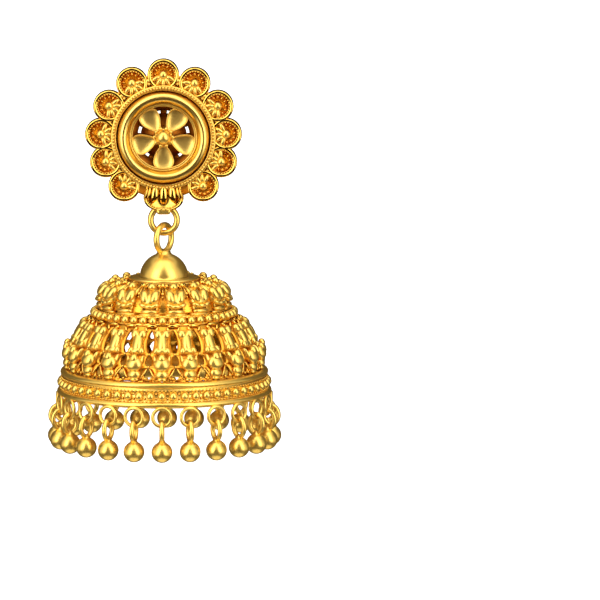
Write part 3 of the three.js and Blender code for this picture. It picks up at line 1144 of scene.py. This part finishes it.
@dataclass
class UpperTier:
    """The upper pierced tier, of pear motifs with a lipped foot."""

    bays: int = 15
    top_radius: float = 5.35
    waist: tuple[float, float] = (8.05, 0.34)
    foot_radius: float = 9.05

    def build(self) -> None:
        """Makes the wall and its ornament."""
        top, foot = PLACES.tier_tops["upper_tier"], PLACES.tier_bottoms["upper_tier"]
        waist = (self.waist[0], top + (foot - top) * self.waist[1])
        tier = PiercedTier("upper_tier", WallCurve((self.top_radius, top), waist, (self.foot_radius, foot)), self.bays)
        long = tier.curve.length
        wall = tier.wall([
            Window(0.0, long * 0.58, 0.01, 0.0),
            Window(long * 0.58, long * 0.96, 0.40, 0.6),
            Window(long * 0.96, long, 0.01, 0.0),
        ])
        pieces = [
            (wall, SHADED_INNER, ("upper_tier",)),
            (tier.ornament("motifs", self.motif, 0.5), POLISHED, ()),
            (tier.ornament("scrolls", self.scroll), CAST, ()),
        ]
        for piece, finish, nodes in pieces:
            piece.move((0, PLACES.hang_y, 0))
            piece.finish(finish, "bell", *nodes)

    @staticmethod
    def motif(bay: Workpiece) -> None:
        """A small headed pear above a crescent lip and a foot."""
        figure(bay, [(0.0, 1.2), (0.45, 1.5), (0.6, 2.0), (0.62, 2.5), (0.98, 3.2), (1.12, 3.8), (0.9, 4.35),
                     (0.0, 4.65)], 0.8, 20)
        bay.egg((0, -0.62, -1.85), (0.46, 0.42, 0.46), None, 14)
        for side in (-1, 1):
            bay.egg((side * 0.56, -0.66, -3.4), (0.5, 0.5, 0.85), Matrix.Rotation(side * 0.2, 4, "Y"), 14)
            bay.egg((side * 0.62, -0.55, -4.5), (0.55, 0.4, 0.24), Matrix.Rotation(-side * 0.4, 4, "Y"), 12)
        bay.egg((0, -0.62, -4.62), (0.6, 0.42, 0.24), None, 12)
        bay.egg((0, -0.25, -5.2), (1.0, 0.5, 0.36), None, 16)
        bay.egg((0, -0.12, -5.62), (1.3, 0.42, 0.28), None, 16)
        bmesh.ops.scale(bay.metal, vec=(1.28, 1.2, 1.04), verts=bay.metal.verts[:])

    @staticmethod
    def scroll(bay: Workpiece) -> None:
        """The lobes either side of a window, with a two-grain drop between them."""
        for side in (-1, 1):
            bay.egg((side * 0.52, -0.22, -2.6), (0.3, 0.42, 1.5), Matrix.Rotation(-side * 0.16, 4, "Y"))
            bay.egg((side * 0.78, -0.12, -4.6), (0.2, 0.34, 1.0), Matrix.Rotation(-side * 0.1, 4, "Y"))
            bay.egg((side * 0.5, -0.12, -0.75), (0.42, 0.34, 0.5))
        bay.grain((0, -0.4, -1.2), 0.36)
        bay.egg((0, -0.3, -2.2), (0.13, 0.2, 0.9))
        bay.grain((0, -0.42, -2.95), 0.27)
        bay.grain((0, -0.35, -3.4), 0.17)
        bay.grain((0, -0.25, -0.35), 0.22)


@dataclass
class LowerTier:
    """The lower pierced tier, of long figures with a cradled ball."""

    bays: int = 22
    top_radius: float = 10.45
    waist: tuple[float, float] = (13.0, 0.54)
    foot_radius: float = 14.2

    def build(self) -> None:
        """Makes the wall and its ornament."""
        top, foot = PLACES.tier_tops["lower_tier"], PLACES.tier_bottoms["lower_tier"]
        waist = (self.waist[0], top + (foot - top) * self.waist[1])
        tier = PiercedTier("lower_tier", WallCurve((self.top_radius, top), waist, (self.foot_radius, foot)), self.bays)
        long = tier.curve.length
        wall = tier.wall([
            Window(0.0, 0.4, 0.01, 0.0),
            Window(0.4, 4.45, 0.30, 0.6),
            Window(4.45, 6.3, 0.28, 0.4),
            Window(6.3, long - 0.2, 0.30, 0.8),
            Window(long - 0.2, long, 0.01, 0.0),
        ])
        pieces = [
            (wall, SHADED_INNER, ("lower_tier",)),
            (tier.ornament("figures", self.motif), POLISHED, ()),
            (tier.ornament("links", self.links, 0.5), CAST, ()),
        ]
        for piece, finish, nodes in pieces:
            piece.move((0, PLACES.hang_y, 0))
            piece.finish(finish, "bell", *nodes)

    @staticmethod
    def motif(bay: Workpiece) -> None:
        """Shouldered long body, hips, a ball in a crescent cradle, and a foot."""
        figure(bay, [(0.0, 0.7), (0.55, 0.95), (1.0, 1.6), (0.8, 2.3), (0.8, 2.9), (0.98, 3.6), (1.18, 4.15),
                     (0.85, 4.55), (0.0, 4.75)], 0.85, 20)
        for side in (-1, 1):
            bay.egg((side * 0.5, -0.55, -1.6), (0.62, 0.6, 0.72), Matrix.Rotation(side * 0.35, 4, "Y"), 16)
            bay.egg((side * 0.78, -0.62, -4.1), (0.4, 0.4, 0.5), Matrix.Rotation(-side * 0.5, 4, "Y"), 12)
            bay.egg((side * 0.95, -0.25, -5.5), (0.3, 0.6, 0.95), Matrix.Rotation(side * 0.2, 4, "Y"), 12)
        bay.egg((0, -0.45, -2.9), (0.74, 0.6, 1.85), None, 18)
        bay.egg((0, -1.12, -5.35), (0.55, 0.5, 0.55), None, 16)
        bay.egg((0, -0.6, -6.05), (1.18, 0.85, 1.02), None, 22)
        bay.egg((0, -0.2, -7.4), (0.95, 0.62, 0.72), None, 18)
        bay.egg((0, -0.1, -8.1), (0.7, 0.42, 0.3), None, 14)

    @staticmethod
    def links(bay: Workpiece) -> None:
        """The lintel bar over a window, and the grained cross links."""
        bay.egg((0, -0.3, -0.15), (0.82, 0.3, 0.22), None, 14)
        for side in (-1, 1):
            bay.egg((side * 0.75, -0.12, -0.6), (0.22, 0.3, 0.5), Matrix.Rotation(side * 0.5, 4, "Y"), 10)
        for run, reach in ((4.45, 1.0), (6.3, 1.0)):
            bay.egg((0, 0.1, -run), (reach, 0.12, 0.1), None, 10)
            bay.grain((0, 0.0, -run), 0.22)
        for side in (-1, 1):
            bay.egg((side * 0.62, -0.1, -7.3), (0.16, 0.26, 0.95), Matrix.Rotation(-side * 0.55, 4, "Y"), 10)
            bay.grain((side * 0.42, -0.12, -8.0), 0.2)


@dataclass
class BeadRings:
    """The bead ring between the tiers, and the beaded rim band."""

    upper_beads: int = 45
    upper_radius: float = 10.16
    bead: float = 0.6
    rim_beads: int = 57
    rim_outer: float = 15.6
    rim_inner: float = 14.15

    def build(self, fringe: "Fringe") -> None:
        """Makes both rings.

        Args:
            fringe: Gives the small rings that are soldered under the rim.
        """
        for piece, finish, nodes in (
            (self.upper_base(), CAST, ("upper_bead_ring",)),
            (self.upper_row(), POLISHED, ()),
            (self.rim(), POLISHED, ("rim_band",)),
            (self.rim_row(), POLISHED, ()),
            (self.rim_grains(), CAST, ()),
            (fringe.rings(), POLISHED, ()),
        ):
            piece.move((0, PLACES.hang_y, 0))
            piece.finish(finish, "bell", *nodes)

    def ring_of(self, piece: Workpiece, count: int, radius: float, z: float, grain: float, fine: int = 2) -> None:
        """Adds a ring of grains to a piece."""
        for i in range(count):
            x, y = polar(radius, TAU * i / count)
            piece.grain((x, -y, z), grain, fine)

    def upper_base(self) -> Workpiece:
        """The grooved band behind the upper beads."""
        piece = Workpiece("upper_bead_band")
        high, low = PLACES.high("upper_bead_ring").z, PLACES.low("upper_bead_ring").z
        piece.turned([
            (8.95, high + 0.25), (9.55, high + 0.1), (9.8, high - 0.1), (9.85, high - 0.3), (9.7, high - 0.45),
            (9.7, low + 0.45), (10.1, low + 0.34), (10.35, low + 0.18), (10.4, low), (10.1, low - 0.25),
            (9.6, low - 0.2), (8.95, high + 0.25),
        ])
        self.ring_of(piece, 110, 9.95, high - 0.12, 0.17, 1)
        return piece

    def upper_row(self) -> Workpiece:
        """The upper row of beads."""
        piece = Workpiece("upper_beads")
        z = PLACES.middle("upper_bead_ring").z + 0.02
        self.ring_of(piece, self.upper_beads, self.upper_radius, z, self.bead, 3)
        return piece

    def rim(self) -> Workpiece:
        """The rim band: a polished ring above and below a channel."""
        piece = Workpiece("rim_mouldings")
        top, out, inner = PLACES.rim_top, self.rim_outer, self.rim_inner

        def half_round(radius: float, z: float, size: float) -> list[tuple[float, float]]:
            """A proud half-round moulding, from its top to its bottom."""
            return [
                (radius + size * math.sin(a), z + size * math.cos(a))
                for a in (math.pi * i / 8 for i in range(9))
            ]

        piece.turned([
            (inner, top), (out - 1.1, top + 0.02), *half_round(out - 0.92, top - 0.5, 0.42),
            (out - 0.75, top - 1.0), (out - 0.72, top - 1.25), (out - 0.8, top - 1.4), (out - 0.8, top - 2.5),
            (out - 0.5, top - 2.62), (out - 0.48, top - 2.8), *half_round(out - 0.46, top - 3.26, 0.44),
            (out - 0.9, top - 3.74), (inner + 0.2, top - 3.72), (inner, top - 3.5), (inner, top),
        ], 160)
        return piece

    def rim_row(self) -> Workpiece:
        """The rim's row of beads."""
        piece = Workpiece("rim_beads")
        self.ring_of(piece, self.rim_beads, self.rim_outer - 0.62, PLACES.rim_top - 1.98, 0.61, 3)
        return piece

    def rim_grains(self) -> Workpiece:
        """The fine grains above, below and between the rim's beads."""
        piece = Workpiece("rim_grains")
        top, out = PLACES.rim_top, self.rim_outer
        self.ring_of(piece, 171, out - 0.66, top - 1.2, 0.17, 1)
        self.ring_of(piece, 171, out - 0.45, top - 2.66, 0.17, 1)
        for i in range(self.rim_beads):
            x, y = polar(out - 0.72, TAU * (i + 0.5) / self.rim_beads)
            piece.grain((x, -y, top - 1.65), 0.2, 1)
            piece.grain((x, -y, top - 2.3), 0.2, 1)
        return piece


@dataclass
class Fringe:
    """The ball drops and the small rings that they hang in."""

    count: int = 24
    ring_radius: float = 1.3
    ring_wire: float = 0.52
    ring_drop: float = 4.93
    loop_half_width: float = 1.06
    loop_half_height: float = 1.42
    loop_wire: float = 0.72
    ball_radius: float = 1.5

    def rings(self) -> Workpiece:
        """The face-on rings soldered under the rim."""
        piece = Workpiece("fringe_rings")
        place = Matrix.Translation((0, PLACES.drop_y, PLACES.rim_top - self.ring_drop)) @ Matrix.Rotation(TAU / 4, 4, "X")
        piece.wire(self.ring_radius, self.ring_wire, place, 36)
        piece.repeat(self.count)
        return piece

    def drop(self, angle: float) -> Workpiece:
        """One drop: an oval loop edge on, a solder neck and a ball.

        Args:
            angle: Its turn about the hanging line from the front.

        Returns:
            The drop, in place about the Z axis.
        """
        piece = Workpiece("drop")
        loop_z = PLACES.drop_high - self.loop_half_height - self.loop_wire / 2
        ball_z = PLACES.drop_low + self.ball_radius
        piece.wire(1.0, self.loop_wire, Matrix.Rotation(TAU / 4, 4, "Y"), 40)
        for vert in piece.metal.verts:
            out = Vector((0, vert.co.y, vert.co.z)).normalized()
            low = max(0.0, -out.z) ** 3
            vert.co.y += out.y * (self.loop_half_width * (1 - 0.35 * low) - 1)
            vert.co.z += out.z * (self.loop_half_height - 1)
        bmesh.ops.translate(piece.metal, vec=(0, PLACES.drop_y, loop_z), verts=piece.metal.verts[:])
        body = Workpiece("body")
        rows = 22
        ball = [
            (self.ball_radius * math.sin(a), ball_z + self.ball_radius * math.cos(a))
            for a in (math.pi * i / rows for i in range(4, rows))
        ]
        top = ball_z + self.ball_radius
        body.turned([(0, top + 0.42), (0.34, top + 0.36), (0.45, top + 0.1), (0.6, top - 0.1), *ball,
                     (0, ball_z - self.ball_radius)], 36)
        body.move((0, PLACES.drop_y, 0))
        piece.take(body.metal)
        bmesh.ops.rotate(
            piece.metal, verts=piece.metal.verts[:], cent=(0, 0, 0), matrix=Matrix.Rotation(angle, 3, "Z")
        )
        return piece

    def build(self) -> None:
        """Makes each drop in place of its CAD node."""
        for i in range(self.count):
            node = f"drop_{i + 1:02d}"
            piece = self.drop(TAU * i / self.count)
            piece.name = f"ball_{node}"
            piece.move((0, PLACES.hang_y, 0))
            piece.finish(POLISHED, "bell", node)


# ---------------------------------------------------------------- studio


@dataclass
class Studio:
    """Camera, soft lights, sky and floor.

    Attributes:
        elevation: How far the camera looks down, in degrees.
        distance: Camera to object, in metres.
        frame_width: Width of the picture at the object, in metres.
        aside: The object's hanging line to the picture's middle, in metres.
        middle_z: Height at the picture's middle, in metres.
    """

    elevation: float = 8.0
    distance: float = 0.8
    frame_width: float = 0.087
    aside: float = 0.0197
    middle_z: float = -0.0238
    floor_drop: float = 0.16

    def build(self) -> None:
        """Sets up the studio."""
        self.camera()
        self.sky()
        self.floor()
        self.light("left_softbox", (-0.42, -0.52, 0.16), (0.34, 0.62), 1.1)
        self.light("right_softbox", (0.42, -0.50, 0.14), (0.30, 0.62), 0.8)
        self.light("top_softbox", (0.0, -0.10, 0.60), (0.55, 0.40), 0.8)

    def camera(self) -> None:
        """A long lens, level across and looking a little down."""
        data = bpy.data.cameras.new("camera")
        data.sensor_width = 36.0
        data.lens = data.sensor_width * self.distance / self.frame_width
        data.clip_end = 20.0
        tilt = math.radians(self.elevation)
        target = Vector((self.aside, PLACES.hang_y * MM, self.middle_z))
        camera = bpy.data.objects.new("camera", data)
        camera.location = target + Vector((0, -math.cos(tilt), math.sin(tilt))) * self.distance
        camera.rotation_euler = (TAU / 4 - tilt, 0, 0)
        bpy.context.scene.collection.objects.link(camera)
        bpy.context.scene.camera = camera

    def light(self, name: str, place: Sequence[float], size: tuple[float, float], watts: float) -> None:
        """An area light that faces the bell.

        Args:
            name: The light's name.
            place: Where it stands, in metres.
            size: Its width and height.
            watts: Its power.
        """
        data = bpy.data.lights.new(name, "AREA")
        data.shape = "RECTANGLE"
        data.size, data.size_y = size
        data.energy = watts
        lamp = bpy.data.objects.new(name, data)
        lamp.location = place
        aim = Vector((0, 0, self.middle_z)) - Vector(place)
        lamp.rotation_euler = aim.to_track_quat("-Z", "Y").to_euler()
        bpy.context.scene.collection.objects.link(lamp)

    def sky(self) -> None:
        """White to the camera; in reflections, a pale room with a dim front and back."""
        world = bpy.data.worlds.new("studio")
        bpy.context.scene.world = world
        world.use_nodes = True
        shader = Shader(world.node_tree)
        where = shader.node("ShaderNodeTexCoord")
        split = shader.node("ShaderNodeSeparateXYZ", None, {0: where.outputs["Generated"]})
        x, y, z = (Value(shader, split.outputs[i]) for i in range(3))
        front = y * -1.0
        turn = x.size().angle_to(front)
        upright = self.between(shader, z, (-0.42, -0.36), (0.75, 0.95))
        inner_edge = turn + z * 0.4
        boxes = self.between(shader, inner_edge, (0.46, 0.50), (1.6, 1.9)) * upright
        hot = self.between(shader, inner_edge, (0.48, 0.54), (0.8, 1.3)) * upright
        overhead = self.ramp(shader, z, (0.6, 0.85), (0.0, 0.9))
        below = self.ramp(shader, z, (-0.88, -0.82), (1.0, 0.0))
        side = x.above(0.0)
        level = boxes * (0.85 - side * 0.15) + hot * 1.5 + overhead + below
        seen = shader.node("ShaderNodeLightPath").outputs["Is Camera Ray"]
        dim = shader.node("ShaderNodeBackground", None, {"Color": (1.0, 0.97, 0.92, 1.0), "Strength": level})
        warm = shader.node("ShaderNodeBackground", None, {"Color": (0.85, 0.42, 0.16, 1.0), "Strength": 0.05})
        studio = shader.node("ShaderNodeAddShader", None, {0: dim.outputs[0], 1: warm.outputs[0]})
        white = shader.node("ShaderNodeBackground", None, {"Color": (1.0, 1.0, 1.0, 1.0), "Strength": 1.0})
        mix = shader.node("ShaderNodeMixShader", None, {0: seen, 1: studio.outputs[0], 2: white.outputs[0]})
        shader.node("ShaderNodeOutputWorld", None, {"Surface": mix.outputs[0]})
        bpy.context.scene.view_settings.view_transform = "Standard"

    @staticmethod
    def ramp(shader: Shader, value: Value, limits: tuple[float, float], levels: tuple[float, float]) -> Value:
        """A smooth step between two levels."""
        return shader.value("ShaderNodeMapRange", {"interpolation_type": "SMOOTHSTEP"}, {
            "Value": value, "From Min": limits[0], "From Max": limits[1], "To Min": levels[0], "To Max": levels[1],
        })

    def between(self, shader: Shader, value: Value, rise: tuple[float, float], fall: tuple[float, float]) -> Value:
        """One between two smooth edges and nothing outside them."""
        return self.ramp(shader, value, rise, (0.0, 1.0)) * self.ramp(shader, value, fall, (1.0, 0.0))

    def floor(self) -> None:
        """A wide pale floor well under the hanging earring."""
        metal = bmesh.new()
        bmesh.ops.create_grid(metal, x_segments=4, y_segments=4, size=6.0)
        bmesh.ops.translate(metal, vec=(0, 0, CAD_BOX[0].z - self.floor_drop), verts=metal.verts[:])
        mesh = bpy.data.meshes.new("floor")
        metal.to_mesh(mesh)
        metal.free()
        material = bpy.data.materials.new("pale_floor")
        material.use_nodes = True
        shader = Shader(material.node_tree)
        here = shader.value("ShaderNodeTexCoord", None, None, "Object")
        tone = shader.noise(here, 3.0)
        colour = shader.mix_colours(tone, (0.97, 0.97, 0.96, 1.0), (0.93, 0.93, 0.92, 1.0))
        paint = shader.node("ShaderNodeBsdfPrincipled", None, {"Base Color": colour, "Roughness": 0.8,
                             "Emission Color": (1.0, 1.0, 1.0, 1.0), "Emission Strength": 0.8})
        shader.node("ShaderNodeOutputMaterial", None, {"Surface": paint.outputs[0]})
        mesh.materials.append(material)
        floor = bpy.data.objects.new("floor", mesh)
        bpy.context.scene.collection.objects.link(floor)
        floor.visible_glossy = False


def main() -> None:
    """Builds the earring and its studio."""
    Studio().build()
    rosette, links, fringe = Rosette(), Links(), Fringe()
    rosette.build()
    DomedRing().build(rosette)
    Flower().build()
    EarPost().build(rosette)
    links.build()
    Crown().build(links)
    UpperTier().build()
    LowerTier().build()
    BeadRings().build(fringe)
    fringe.build()


PLACES = Places()

if __name__ == "__main__":
    logging.basicConfig(level=logging.INFO, format="%(message)s")
    main()
